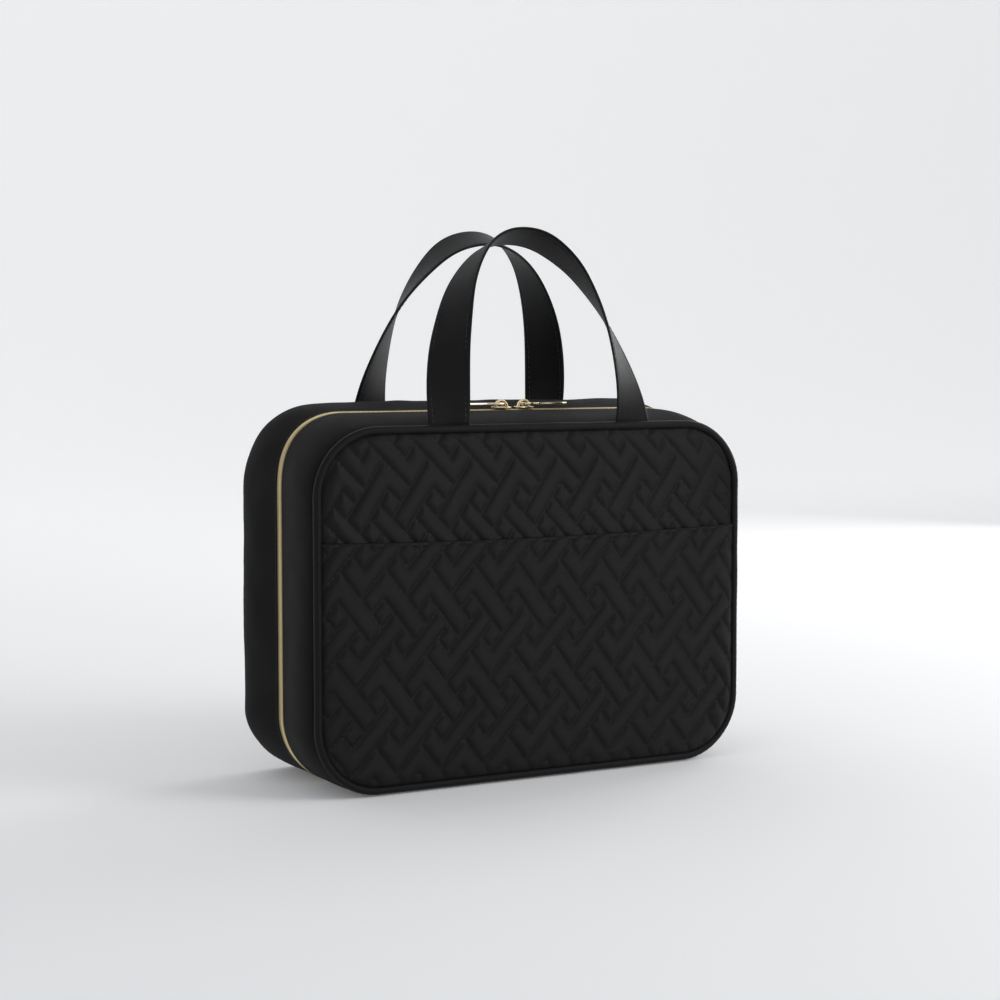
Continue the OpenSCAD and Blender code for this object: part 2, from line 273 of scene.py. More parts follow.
def mesh_cloth(name, colour):
    """Open knitted mesh: small round holes in staggered rows."""
    g = Graph(name, colour, 0.6, sheen=0.2)
    uv = g.add("ShaderNodeUVMap", uv_map="cloth").outputs[0]
    cells = g.add("ShaderNodeTexVoronoi", feature="F1")
    cells.inputs["Scale"].default_value = 520
    cells.inputs["Randomness"].default_value = 0.12
    g.join(uv, cells.inputs["Vector"])
    cover = g.ramp(cells.outputs["Distance"], 0.30, 0.42, (0, 1))
    g.join(cover, g.shader.inputs["Alpha"])
    g.bump(cells.outputs["Distance"], 0.2 * MM, 0.6)
    return g.material


def metal(name, colour, roughness):
    """Polished plated metal with faint scratches."""
    wear = 0.06
    g = Graph(name, colour, roughness, metallic=1.0)
    place = g.add("ShaderNodeTexCoord").outputs["Object"]
    stretch = g.add("ShaderNodeMapping")
    stretch.inputs["Scale"].default_value = (1, 9, 3)
    g.join(place, stretch.inputs["Vector"])
    scratch = g.noise(stretch.outputs[0], 500, 4)
    g.join(g.ramp(scratch, 0.35, 0.7, (roughness - wear, roughness + wear)), g.shader.inputs["Roughness"])
    g.tint(colour, g.ramp(g.noise(place, 250, 2), 0.3, 0.7, (0.94, 1.04)))
    g.bump(scratch, 0.02 * MM, 0.3)
    return g.material


def thread_material(name, colour):
    g = Graph(name, colour, 0.42, sheen=0.3, specular=0.5)
    place = g.add("ShaderNodeTexCoord").outputs["Object"]
    twist = g.noise(place, 2600, 2)
    g.tint(colour, g.ramp(twist, 0.3, 0.7, (0.75, 1.35)))
    g.bump(twist, 0.05 * MM, 0.7)
    return g.material


def foam_material(name, colour):
    g = Graph(name, colour, 0.85)
    place = g.add("ShaderNodeTexCoord").outputs["Object"]
    cells = g.noise(place, 900, 3)
    g.tint(colour, g.ramp(cells, 0.3, 0.7, (0.85, 1.05)))
    g.bump(cells, 0.2 * MM, 0.6)
    return g.material


def make_materials():
    return {
        "quilted_cloth": cloth("quilted_cloth", (0.0046, 0.0047, 0.0052), 0.42, 0.5 * MM, 0.03 * MM, 0.02,
                               twill=True),
        # The gusset cloth's bright flecks are painted glints.
        "gusset_cloth": cloth("gusset_cloth", (0.0040, 0.0040, 0.0042), 0.75, 0.8 * MM, 0.09 * MM, 0.02,
                              painted_glints=2.0),
        "piping_cloth": cloth("piping_cloth", (0.0038, 0.0038, 0.0040), 0.45, 0.5 * MM, 0.04 * MM, 0.02),
        "strap_cloth": cloth("strap_cloth", (0.0042, 0.0043, 0.0046), 0.46, 0.6 * MM, 0.05 * MM, 0.06,
                             twill=True),
        "lining_cloth": cloth("lining_cloth", (0.030, 0.030, 0.034), 0.48, 0.4 * MM, 0.03 * MM, 0.25),
        "elastic_webbing": cloth("elastic_webbing", (0.012, 0.012, 0.013), 0.60, 1.1 * MM, 0.15 * MM, 0.15),
        "zip_tape": cloth("zip_tape", (0.010, 0.010, 0.011), 0.65, 0.7 * MM, 0.08 * MM, 0.10, twill=True),
        "mesh_cloth": mesh_cloth("mesh_cloth", (0.015, 0.015, 0.017)),
        "zip_coil": metal("zip_coil", (0.80, 0.66, 0.38), 0.34),
        "zip_metal": metal("zip_metal", (0.86, 0.71, 0.43), 0.22),
        "pull_metal": metal("pull_metal", (0.91, 0.78, 0.53), 0.18),
        "thread": thread_material("thread", (0.006, 0.006, 0.007)),
        "foam_board": foam_material("foam_board", (0.62, 0.60, 0.55)),
    }


# ---------------------------------------------------------------- mesh helpers

def piece(name, verts, faces, material, body, slot=None, replaces=(), uv=None):
    """A new mesh object in the CAD frame that rides on a body."""
    mesh = bpy.data.meshes.new(name)
    mesh.from_pydata(np.asarray(verts, float).reshape(-1, 3).tolist(), [], [list(map(int, f)) for f in faces])
    if uv is not None:
        layer = mesh.uv_layers.new(name="cloth")
        layer.data.foreach_set("uv", np.asarray(uv, np.float32).ravel())
    mesh.shade_smooth()
    mesh.materials.append(MATERIALS[material])
    thing = bpy.data.objects.new(name, mesh)
    bpy.context.scene.collection.objects.link(thing)
    if body is not None:
        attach(thing, body)
    if replaces:
        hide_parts(*replaces)
    return thing


def grid_faces(rows, columns, closed_rows, closed_columns, flip):
    """Quads of a grid of points, and each corner's unwrapped row and column."""
    i, j = np.meshgrid(np.arange(rows if closed_rows else rows - 1),
                       np.arange(columns if closed_columns else columns - 1), indexing="ij")
    i, j = i.ravel(), j.ravel()
    around = ((0, 0), (0, 1), (1, 1), (1, 0))
    if flip:
        around = around[::-1]
    row = np.stack([i + a for a, _ in around], 1)
    column = np.stack([j + b for _, b in around], 1)
    return (row % rows) * columns + column % columns, row, column


def sheet_piece(name, points, u, v, material, body, closed=False, round_across=False, flip=False, **more):
    """A grid of points (rows, columns, 3). u and v are the lengths along its rows and columns, in metres."""
    rows, columns = points.shape[:2]
    faces, row, column = grid_faces(rows, columns, closed, round_across, flip)
    uv = np.stack([np.asarray(u)[row], np.asarray(v)[column]], -1)
    return piece(name, points, faces, material, body, uv=uv, **more)


def thicken(thing, thickness, offset=-1.0):
    modifier = thing.modifiers.new("thickness", "SOLIDIFY")
    modifier.thickness = thickness
    modifier.offset = offset
    modifier.use_even_offset = False
    return thing


def ripple(points, scale, seed):
    """Smooth repeatable noise, mostly within -1 and 1: sine waves in several directions."""
    waves = 8
    random = np.random.default_rng(seed)
    total = np.zeros(points.shape[:-1])
    for _ in range(waves):
        direction = random.normal(size=3)
        direction /= np.linalg.norm(direction)
        turn = 2 * math.pi / (scale * random.uniform(0.6, 1.5))
        total += np.sin(points @ direction * turn + random.uniform(0, 2 * math.pi))
    return total / math.sqrt(waves) / 1.2


def threads(name, centres, along, outward, body, length=2.3 * MM, radius=0.24 * MM, material="thread",
            slot="quilted_cloth", taper=(0.35, 1.0, 1.0, 0.35), sides=6, flat=1.0):
    """One object of many short stitches: tapered tubes at centres, pointing along, lifted by outward."""
    centres, along, outward = (np.asarray(a, float) for a in (centres, along, outward))
    along = along / np.linalg.norm(along, axis=1, keepdims=True)
    across = np.cross(along, outward)
    across /= np.linalg.norm(across, axis=1, keepdims=True)
    lift = np.cross(across, along)
    rings = len(taper)
    places = np.linspace(-0.5, 0.5, rings) * length
    places[1:-1] *= 1.25
    angle = 2 * math.pi * np.arange(sides) / sides
    verts = (centres[:, None, None, :] + places[None, :, None, None] * along[:, None, None, :]
             + (np.outer(taper, np.cos(angle)) * radius)[None, :, :, None] * across[:, None, None, :]
             + (np.outer(taper, np.sin(angle)) * radius * flat)[None, :, :, None] * lift[:, None, None, :])
    faces = []
    for i in range(rings - 1):
        for j in range(sides):
            k = (j + 1) % sides
            faces.append((i * sides + j, i * sides + k, (i + 1) * sides + k, (i + 1) * sides + j))
    ends = [tuple(range(sides))[::-1], tuple((rings - 1) * sides + j for j in range(sides))]
    size = rings * sides
    all_faces = [[v + n * size for v in face] for n in range(len(centres)) for face in faces + ends]
    return piece(name, verts.reshape(-1, 3), all_faces, material, body, slot=slot)


def lengths(line):
    """The length from a polyline's start to each of its points."""
    return np.concatenate([[0], np.cumsum(np.linalg.norm(np.diff(line, axis=0), axis=1))])


def spaced(line, pitch, start=0.0):
    """Points at even spacing along a polyline, the directions there, and their shares of its length."""
    line = np.asarray(line, float)
    length = lengths(line)
    at = np.arange(start + pitch / 2, length[-1], pitch)
    points = np.stack([np.interp(at, length, line[:, k]) for k in range(3)], 1)
    ahead = np.stack([np.interp(at + 0.2 * pitch, length, line[:, k]) for k in range(3)], 1)
    behind = np.stack([np.interp(at - 0.2 * pitch, length, line[:, k]) for k in range(3)], 1)
    return points, ahead - behind, at / length[-1]


# ---------------------------------------------------------------- the outline and the gusset's skin

def walk(parts, step):
    """Stations (x, z, nx, nz, length) along straight parts and corners.

    A straight part is ("line", x0, z0, x1, z1), and a corner is ("arc", x, z, degrees at its start).
    """
    rows, length = [], 0.0
    for kind, *numbers in parts:
        if kind == "line":
            x0, z0, x1, z1 = numbers
            size = math.hypot(x1 - x0, z1 - z0)
            normal = ((z1 - z0) / size, -(x1 - x0) / size)
            count = max(1, round(size / step))
            for i in range(count):
                t = i / count
                rows.append((x0 + (x1 - x0) * t, z0 + (z1 - z0) * t, *normal, length + size * t))
        else:
            x, z, start = numbers
            size = CORNER_R * math.pi / 2
            count = max(6, round(size / step))
            for i in range(count):
                a = math.radians(start + 90 * i / count)
                rows.append((x + CORNER_R * math.cos(a), z + CORNER_R * math.sin(a), math.cos(a), math.sin(a),
                             length + size * i / count))
        length += size
    return np.array(rows), length


def corner_parts():
    return [("arc", CORNER_X, LOW_Z, -90), ("line", WIDTH / 2, LOW_Z, WIDTH / 2, HIGH_Z),
            ("arc", CORNER_X, HIGH_Z, 0), ("line", CORNER_X, TOP_Z, -CORNER_X, TOP_Z),
            ("arc", -CORNER_X, HIGH_Z, 90), ("line", -WIDTH / 2, HIGH_Z, -WIDTH / 2, LOW_Z),
            ("arc", -CORNER_X, LOW_Z, 180)]


def closed_outline(step):
    """The whole outline, from the middle of the bottom, anticlockwise seen from the front."""
    return walk([("line", 0, BASE_Z, CORNER_X, BASE_Z)] + corner_parts()
                + [("line", -CORNER_X, BASE_Z, 0, BASE_Z)], step)


def zip_outline(step):
    """The part of the outline that the zip runs along."""
    return walk([("line", ZIP_END_X, BASE_Z, CORNER_X, BASE_Z)] + corner_parts()
                + [("line", -CORNER_X, BASE_Z, -ZIP_END_X, BASE_Z)], step)


def arch(share, peak, end):
    """Rises steeply from 0 to its peak, and comes down to its end at the zip."""
    return peak * np.sin((math.pi - math.asin(min(1, end / peak))) * share ** CROWN_POWER)


def skin(stations, offset, y):
    """Points of the gusset's outer face, moved outwards by offset: (stations, depths, 3)."""
    y = np.asarray(y, float)[None, :]
    side, up = stations[:, 2:3], stations[:, 3:4]
    far = np.where(y > ZIP_Y, GUSSET_END, -GUSSET_END)
    edge = ZIP_Y + np.sign(far) * ZIP_HALF
    share = np.clip((far - y) / (far - edge), 0, 1)
    sides, tops = (np.where(y > ZIP_Y, arch(share, rear, end), arch(share, front, end))
                   for (front, rear), end in ((SIDE_PEAK, ZIP_SIDE), (TOP_PEAK, ZIP_TOP)))
    base = BASE_AMP * np.minimum(FLAT_SHARE, np.sin(BASE_TURN * share)) / FLAT_SHARE
    rise = sides * side ** 4 + np.where(up > 0, tops * (1 - side ** 4), base * up ** 2)
    out = offset - TUCK + rise
    return np.stack([stations[:, 0:1] + out * side, y + 0 * out, stations[:, 1:2] + out * up], -1)


def push(points, stations, move):
    """Moves a grid of points outwards, each along its station's normal."""
    points[..., 0] += move * stations[:, 2:3]
    points[..., 2] += move * stations[:, 3:4]


def outward(stations, y):
    """Unit normals of the skin at one depth."""
    step = 0.2 * MM
    here = skin(stations, 0, [y - step, y + step])
    across = here[:, 1] - here[:, 0]
    around = np.stack([-stations[:, 3], 0 * stations[:, 3], stations[:, 2]], 1)
    normal = np.cross(across, around)
    return normal / np.linalg.norm(normal, axis=1, keepdims=True)


# ---------------------------------------------------------------- walls, piping and zip

def make_gusset(side):
    """The crowned cloth wall of one half, with shallow wrinkles and puckers at the piping."""
    stations, length = closed_outline(2.2 * MM)
    depth = np.linspace(ZIP_Y + side * ZIP_HALF, side * GUSSET_END, 34)
    points = skin(stations, 0, depth)
    share = np.linspace(0, 1, len(depth))[None, :]
    loose = np.sin(math.pi * share) ** 0.8 * np.clip(share * 2.2, 0, 1)
    seam = np.exp(-(1 - share) * abs(depth[-1] - depth[0]) / (3.5 * MM)) * np.clip((1 - share) * 12, 0, 1)
    pucker = np.sin(stations[:, 4:5] * 2 * math.pi / (7.3 * MM) + 2.5 * ripple(points, 60 * MM, 4 + side))
    move = (0.55 * MM * loose * ripple(points, 70 * MM, 11 + side)
            + 0.22 * MM * loose * ripple(points, 22 * MM, 21 + side) + 0.16 * MM * seam * pucker)
    flat_base = np.clip(-stations[:, 3:4], 0, 1) ** 4
    move = move * (1 - flat_base)
    push(points, stations, move)
    across = lengths(points[0])
    around = np.append(stations[:, 4], length)
    wall = sheet_piece(f"{HALF[side]}_wall", points, around, across, "gusset_cloth", BODY[side], closed=True,
                       flip=side < 0, replaces=[f"{HALF[side]}_gusset"])
    thicken(wall, WALL_T)
    make_wall_stitches(side)


def make_wall_stitches(side):
    """The row of stitches along the zip that holds the wall's folded edge to the tape."""
    stations, _ = zip_outline(2 * MM)
    y = ZIP_Y + side * (ZIP_HALF + 1.8 * MM)
    line = skin(stations, 0.05 * MM, [y])[:, 0]
    line[:, 2] = np.maximum(line[:, 2], 0.25 * MM)
    centres, along, share = spaced(line, 3.0 * MM)
    normal = outward(stations, y)
    place = np.linspace(0, 1, len(stations))
    lift = np.stack([np.interp(share, place, normal[:, k]) for k in range(3)], 1)
    return threads(f"{HALF[side]}_wall_stitches", centres, along, lift, BODY[side], length=2.2 * MM,
                   radius=0.2 * MM, slot="gusset_cloth")


def make_piping(side):
    """A cloth-covered cord sewn into the seam, slightly puckered by its stitches."""
    stations, length = closed_outline(1.6 * MM)
    count = 14
    angle = 2 * math.pi * np.arange(count) / count
    pucker = 0.05 * MM * np.sin(stations[:, 4:5] * 2 * math.pi / (4.1 * MM))
    body = np.stack([stations[:, 0], 0 * stations[:, 0], stations[:, 1]], 1)
    swell = PIPING_R + pucker + 0.10 * MM * ripple(body, 30 * MM, 31 + side)[:, None]
    out = -PIPING_R + swell * np.cos(angle)[None, :]
    y = side * PIPING_Y + swell * np.sin(angle)[None, :]
    points = np.stack([stations[:, 0:1] + out * stations[:, 2:3], y,
                       stations[:, 1:2] + out * stations[:, 3:4]], -1)
    around = np.append(stations[:, 4], length)
    sheet_piece(f"{HALF[side]}_piping_cord", points, around, np.append(angle, 2 * math.pi) * PIPING_R,
                "piping_cloth", BODY[side], closed=True, round_across=True, flip=False,
                replaces=[f"{HALF[side]}_piping"])


def make_zip_tape(side):
    stations, length = zip_outline(2.5 * MM)
    low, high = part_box(f"{HALF[side]}_zip_tape")
    far = high.y if side > 0 else low.y
    depth = np.linspace(ZIP_Y + side * 0.3 * MM, far, 9)
    points = skin(stations, -GUSSET_T - 0.15 * MM, depth)
    across = np.abs(depth - depth[0])
    tape = sheet_piece(f"{HALF[side]}_tape", points, stations[:, 4], across, "zip_tape", BODY[side],
                       flip=side < 0, replaces=[f"{HALF[side]}_zip_tape"])
    thicken(tape, TAPE_T)


def make_coil(side):
    """The teeth of one side: slanting loops whose heads mesh with the other side's."""
    pitch = 1.4 * MM
    stations, _ = zip_outline(0.6 * MM)
    inner, outer = -0.35 * MM, 2.9 * MM
    y = ZIP_Y + side * (inner + outer) / 2
    under = np.clip(-stations[:, 3], 0, 1)[:, None]
    line = skin(stations, (0.05 - 0.65 * under) * MM, [y])[:, 0]
    centres, along, share = spaced(line, pitch, 0 if side > 0 else pitch / 2)
    place = np.linspace(0, 1, len(stations))
    up = np.stack([stations[:, 2], 0 * stations[:, 2], stations[:, 3]], 1)
    lift = np.stack([np.interp(share, place, up[:, k]) for k in range(3)], 1)
    along /= np.linalg.norm(along, axis=1, keepdims=True)
    slant = np.array((0.0, side, 0.0)) + along * 0.30
    taper = (0.35, 0.75, 0.95, 1.0, 0.95, 0.6)
    coil = threads(f"{HALF[side]}_coil", centres, slant, lift, BODY[side], length=outer - inner,
                   radius=0.46 * MM, material="zip_coil", slot="zip_coil", taper=taper, sides=8, flat=1.25)
    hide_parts(f"{HALF[side]}_zip_coil")


# ---------------------------------------------------------------- quilting

PADDING_REACH = 4.9 * MM


class Quilt:
    """Two hooked bars and two small squares that lock together, sewn on a slanting lattice.

    Cells are counted along two directions, and a point's height comes from how far it is from the
    nearest sewn edge between two shapes.
    """

    SHAPES = (((0, 0), (1, 0), (2, 0), (3, 0), (0, -1)), ((4, -2), (4, -1), (4, 0), (4, 1), (3, -2)),
              ((1, -1),), ((3, -1),))
    PITCH = 10.4 * MM

    def __init__(self, apex, first, second):
        """apex is the top of a hooked bar; first and second are the cell's two sides, in metres."""
        self.sides = np.array((first, second), float)
        self.origin = np.array(apex, float) - self.sides[1] * (1 if first[0] > 0 else 0)
        if first[0] < 0:
            self.origin = np.array(apex, float) - 5 * self.sides[0] + 2 * self.sides[1]
        self.inverse = np.linalg.inv(self.sides.T)
        area = abs(np.linalg.det(self.sides))
        self.size = np.linalg.norm(self.sides, axis=1)
        self.height = area / self.size[::-1]
        self.open = np.zeros((4, 6, 4), bool)
        self.corner = np.zeros((4, 6, 4), bool)
        self.kind = np.zeros((4, 6), int)
        for k, shape in enumerate(self.SHAPES):
            for i, j in shape:
                key = ((i + j) % 4, (i - j) % 6)
                self.kind[key] = k
                near = [(i - 1, j) in shape, (i + 1, j) in shape, (i, j - 1) in shape, (i, j + 1) in shape]
                self.open[key] = near
                for c, (a, b) in enumerate(((0, 2), (0, 3), (1, 2), (1, 3))):
                    diagonal = (i + (1 if a else -1), j + (1 if b == 3 else -1))
                    self.corner[key][c] = near[a] and near[b] and diagonal not in shape

    def sewn_distance(self, x, z):
        """Distance to the nearest sewn edge, and the length along that edge."""
        s, t = self.inverse @ np.stack([x.ravel() - self.origin[0], z.ravel() - self.origin[1]])
        i, j = np.floor(s).astype(int), np.floor(t).astype(int)
        fs, ft = s - i, t - j
        opened = self.open[(i + j) % 4, (i - j) % 6]
        cornered = self.corner[(i + j) % 4, (i - j) % 6]
        far = 1.0
        gaps = np.stack([fs * self.height[0], (1 - fs) * self.height[0], ft * self.height[1],
                         (1 - ft) * self.height[1]], 1)
        gaps = np.where(opened, far, gaps)
        edge = gaps.argmin(1)
        distance = gaps.min(1)
        run = np.where(edge < 2, ft * self.size[1], fs * self.size[0])
        for c, (a, b) in enumerate(((0, 0), (0, 1), (1, 0), (1, 1))):
            offset = (fs - a)[:, None] * self.sides[0] + (ft - b)[:, None] * self.sides[1]
            distance = np.minimum(distance, np.where(cornered[:, c], np.linalg.norm(offset, axis=1), far))
        return distance.reshape(x.shape), run.reshape(x.shape)

    def puff(self, x, z, height):
        distance, run = self.sewn_distance(x, z)
        share = np.clip(distance / PADDING_REACH, 0, 1)
        pillow = (1 - (1 - share) ** 2) ** 0.72
        pucker = 0.10 * MM * np.exp(-distance / (1.1 * MM)) * np.cos(run * 2 * math.pi * 3 / self.PITCH)
        return height * pillow + pucker

    def edges(self, low, high):
        """The sewn edges near the box low..high, as (start, end) pairs in x and z."""
        corners = np.array([(x, z) for x in (low[0], high[0]) for z in (low[1], high[1])])
        cells = (corners - self.origin) @ self.inverse.T
        a, b = np.floor(cells.min(0)).astype(int) - 1, np.ceil(cells.max(0)).astype(int) + 1
        found = []
        for i in range(a[0], b[0]):
            for j in range(a[1], b[1]):
                opened = self.open[(i + j) % 4, (i - j) % 6]
                start = self.origin + i * self.sides[0] + j * self.sides[1]
                if not opened[0]:
                    found.append((start, start + self.sides[1]))
                if not opened[2]:
                    found.append((start, start + self.sides[0]))
        return found


PANEL_INSET = 3.6 * MM
PANEL_HALF = WIDTH / 2 - PANEL_INSET
PANEL_R = CORNER_R - PANEL_INSET
PANEL_LOW, PANEL_HIGH = BASE_Z + PANEL_INSET, TOP_Z - PANEL_INSET
LOWER_QUILT = Quilt((11.6 * MM, 124.0 * MM), (6.2 * MM, -8.05 * MM), (7.25 * MM, 8.05 * MM))
UPPER_QUILT = Quilt((11.6 * MM, 182.7 * MM), (-8.0 * MM, 8.05 * MM), (-5.45 * MM, -8.05 * MM))


def panel_edge(x, z):
    """Distance inwards from the panel's outline."""
    qx = np.abs(x) - (PANEL_HALF - PANEL_R)
    qz = np.abs(z - (PANEL_LOW + PANEL_HIGH) / 2) - ((PANEL_HIGH - PANEL_LOW) / 2 - PANEL_R)
    outside = np.hypot(np.clip(qx, 0, None), np.clip(qz, 0, None))
    return PANEL_R - (outside + np.minimum(np.maximum(qx, qz), 0))


def panel_columns(step):
    """The x of each column of a panel's grid, closer together where the outline turns."""
    turn = np.sin(np.linspace(0, math.pi / 2, max(8, round(PANEL_R * 1.57 / step))))
    right = PANEL_HALF - PANEL_R + PANEL_R * turn
    straight = np.linspace(-(PANEL_HALF - PANEL_R), PANEL_HALF - PANEL_R,
                           round(2 * (PANEL_HALF - PANEL_R) / step))
    return np.concatenate([-right[::-1], straight[1:-1], right])


def panel_span(x):
    """Lowest and highest z of the panel at x."""
    beyond = np.clip(np.abs(x) - (PANEL_HALF - PANEL_R), 0, PANEL_R)
    rise = PANEL_R - np.sqrt(np.clip(PANEL_R ** 2 - beyond ** 2, 0, None))
    return PANEL_LOW + rise, PANEL_HIGH - rise


def panel_depth(x, z, seam, lift, belly):
    """How far forward a panel's sewn valleys stand: down at the seam, and bellied in the middle."""
    edge = np.clip(panel_edge(x, z), 0, None)
    half_z = (PANEL_HIGH - PANEL_LOW) / 2
    bow = (1 - np.clip(x / PANEL_HALF, -1, 1) ** 2) * (1 - np.clip((z - MIDDLE_Z) / half_z, -1, 1) ** 2)
    return seam + lift * (1 - np.exp(-edge / (2.2 * MM))) + belly * np.sqrt(np.clip(bow, 0, None))


def quilted(name, side, rows, top, quilt, height, depth, replaces):
    """A closed quilted pad on the front or the back. rows run from the panel's foot to top(x)."""
    x = panel_columns(0.85 * MM)
    low, high = panel_span(x)
    high = np.minimum(high, top(x))
    z = low[:, None] + (high - low)[:, None] * rows[None, :]
    x = np.repeat(x[:, None], len(rows), 1)
    fall = 1 - np.exp(-np.clip(panel_edge(x, z), 0, None) / (2.5 * MM))
    out = panel_depth(x, z, *depth) + quilt.puff(x, z, height) * fall
    flat = np.stack([x, 0 * x, z], -1)
    out += (0.12 * MM * ripple(flat, 12 * MM, 41) + 0.25 * MM * ripple(flat, 45 * MM, 42)) * fall
    share = np.linspace(1, 0, 8)
    back_x = np.repeat(x[:, :1], len(share), 1)
    back_z = low[:, None] + (high - low)[:, None] * share[None, :]
    back = panel_depth(back_x, back_z, *depth) - 0.5 * MM
    around = [np.concatenate(pair, 1) for pair in ((x, back_x), (out, back), (z, back_z))]
    points = np.stack([around[0], side * around[1], around[2]], -1)
    columns, count = points.shape[:2]
    v = np.concatenate([rows, share, rows[:1]]) * (PANEL_HIGH - PANEL_LOW)
    faces, row, column = grid_faces(columns, count, False, True, side > 0)
    uv = np.stack([x[row, 0], v[column]], -1).reshape(-1, 2)
    turn = 1 if side > 0 else -1
    ends = [list(range(count))[::turn], list(range((columns - 1) * count, columns * count))[::-turn]]
    pad = piece(name, points, faces.tolist() + ends, "quilted_cloth", BODY[side], replaces=replaces,
                uv=np.concatenate([uv, np.zeros((2 * count, 2))]))


def quilt_stitches(name, side, quilt, z_range, depth):
    """A stitch in three equal steps along every sewn edge."""
    centres, along = [], []
    for start, end in quilt.edges((-PANEL_HALF, z_range[0]), (PANEL_HALF, z_range[1])):
        for k in range(3):
            centres.append(start + (end - start) * (k + 0.5) / 3)
            along.append(end - start)
    centres, along = np.array(centres), np.array(along)
    keep = (panel_edge(centres[:, 0], centres[:, 1]) > 3 * MM) & (centres[:, 1] > z_range[0]) \
        & (centres[:, 1] < z_range[1])
    centres, along = centres[keep], along[keep]
    out = panel_depth(centres[:, 0], centres[:, 1], *depth) + 0.08 * MM
    place = np.stack([centres[:, 0], side * out, centres[:, 1]], 1)
    direction = np.stack([along[:, 0], 0 * along[:, 0], along[:, 1]], 1)
    normal = np.repeat([(0.0, side, 0.0)], len(place), 0)
    threads(name, place, direction, normal, BODY[side], length=2.4 * MM, radius=0.17 * MM)


PUFF = 1.7 * MM
PANEL_FACE = -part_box("front_panel")[0].y
PANEL_DEPTH = (PANEL_FACE - 2.0 * MM, 1.2 * MM, 0.8 * MM)
POCKET_DEPTH = (PANEL_FACE - 1.2 * MM, 2.0 * MM, 1.3 * MM)
REAR_DEPTH = (PANEL_FACE - 2.0 * MM, 2.2 * MM, 1.6 * MM)
POCKET_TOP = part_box("front_pocket_hem")[1].z


def pocket_top(x):
    """The pocket's mouth sags a little between its ends."""
    return POCKET_TOP + 0.9 * MM + 2.2 * MM * (x / PANEL_HALF) ** 2


def make_panels():
    fine = np.linspace(0, 1, 225)
    covered = 0.6
    upper = np.concatenate([np.linspace(0, covered, 8), np.linspace(covered, 1, 92)[1:]])
    quilted("front_quilt", FRONT, upper, lambda x: PANEL_HIGH + 0 * x, UPPER_QUILT, PUFF, PANEL_DEPTH,
            ["front_panel"])
    quilt_stitches("front_quilt_stitches", FRONT, UPPER_QUILT, (POCKET_TOP + 2 * MM, PANEL_HIGH), PANEL_DEPTH)
    quilted("pocket_quilt", FRONT, np.linspace(0, 1, 160), pocket_top, LOWER_QUILT, PUFF, POCKET_DEPTH,
            ["front_pocket"])
    quilt_stitches("pocket_quilt_stitches", FRONT, LOWER_QUILT, (PANEL_LOW, POCKET_TOP), POCKET_DEPTH)
    quilted("rear_quilt", REAR, fine, lambda x: PANEL_HIGH + 0 * x, LOWER_QUILT, PUFF, REAR_DEPTH,
            ["rear_panel"])
    quilt_stitches("rear_quilt_stitches", REAR, LOWER_QUILT, (PANEL_LOW, PANEL_HIGH), REAR_DEPTH)


def make_pocket_hem():
    """The pocket's upper edge: the cloth rolls over and goes down inside as a plain facing."""
    x = panel_columns(1.5 * MM)
    top = pocket_top(x)
    depth = panel_depth(x, top, *POCKET_DEPTH) + 0.35 * MM
    radius = 0.75 * MM
    profile = [(0.25 * MM, -1.2 * MM), (0.1 * MM, -0.4 * MM)]
    profile += [(-radius * (1 - math.cos(a)), radius * math.sin(a)) for a in np.linspace(0, math.pi, 7)]
    profile += [(-2 * radius, -d * MM) for d in (1.5, 4.0, 8.0)]
    profile = np.array(profile)
    points = np.stack([np.repeat(x[:, None], len(profile), 1), -(depth[:, None] + profile[None, :, 0]),
                       top[:, None] + profile[None, :, 1]], -1)
    across = lengths(profile)
    hem = sheet_piece("pocket_hem", points, x, across, "quilted_cloth", BODY[FRONT],
                      replaces=["front_pocket_hem"])
    thicken(hem, 0.3 * MM)


# ---------------------------------------------------------------- handles

STRAP_W = 24 * MM
STRAP_CUP = 0.5 * MM
STITCH_EDGE = 2.6 * MM
HANDLE_HALF = 59 * MM
HANDLE_RISE = 105 * MM
SEWN_Y = GUSSET_END + 0.8 * MM
SEWN_Z = TOP_Z + 0.4 * MM
END_TURN, TURN_POWER, TOP_TILT = 6, 0.88, -21
SPREAD_POWER, RISE_POWER, LEAN_POWER = 0.94, 1.04, 1.4
FRONT_HANDLE_X = 4.5 * MM
LEAN = {FRONT: 30 * MM, REAR: 28 * MM}


def handle_point(t, lean):
    a = math.pi * t
    c, s = math.cos(a), math.sin(a)
    s = max(s, 0)
    return np.array((-HANDLE_HALF * math.copysign(abs(c) ** SPREAD_POWER, c), SEWN_Y - lean * s ** LEAN_POWER,
                     SEWN_Z + HANDLE_RISE * s ** RISE_POWER))


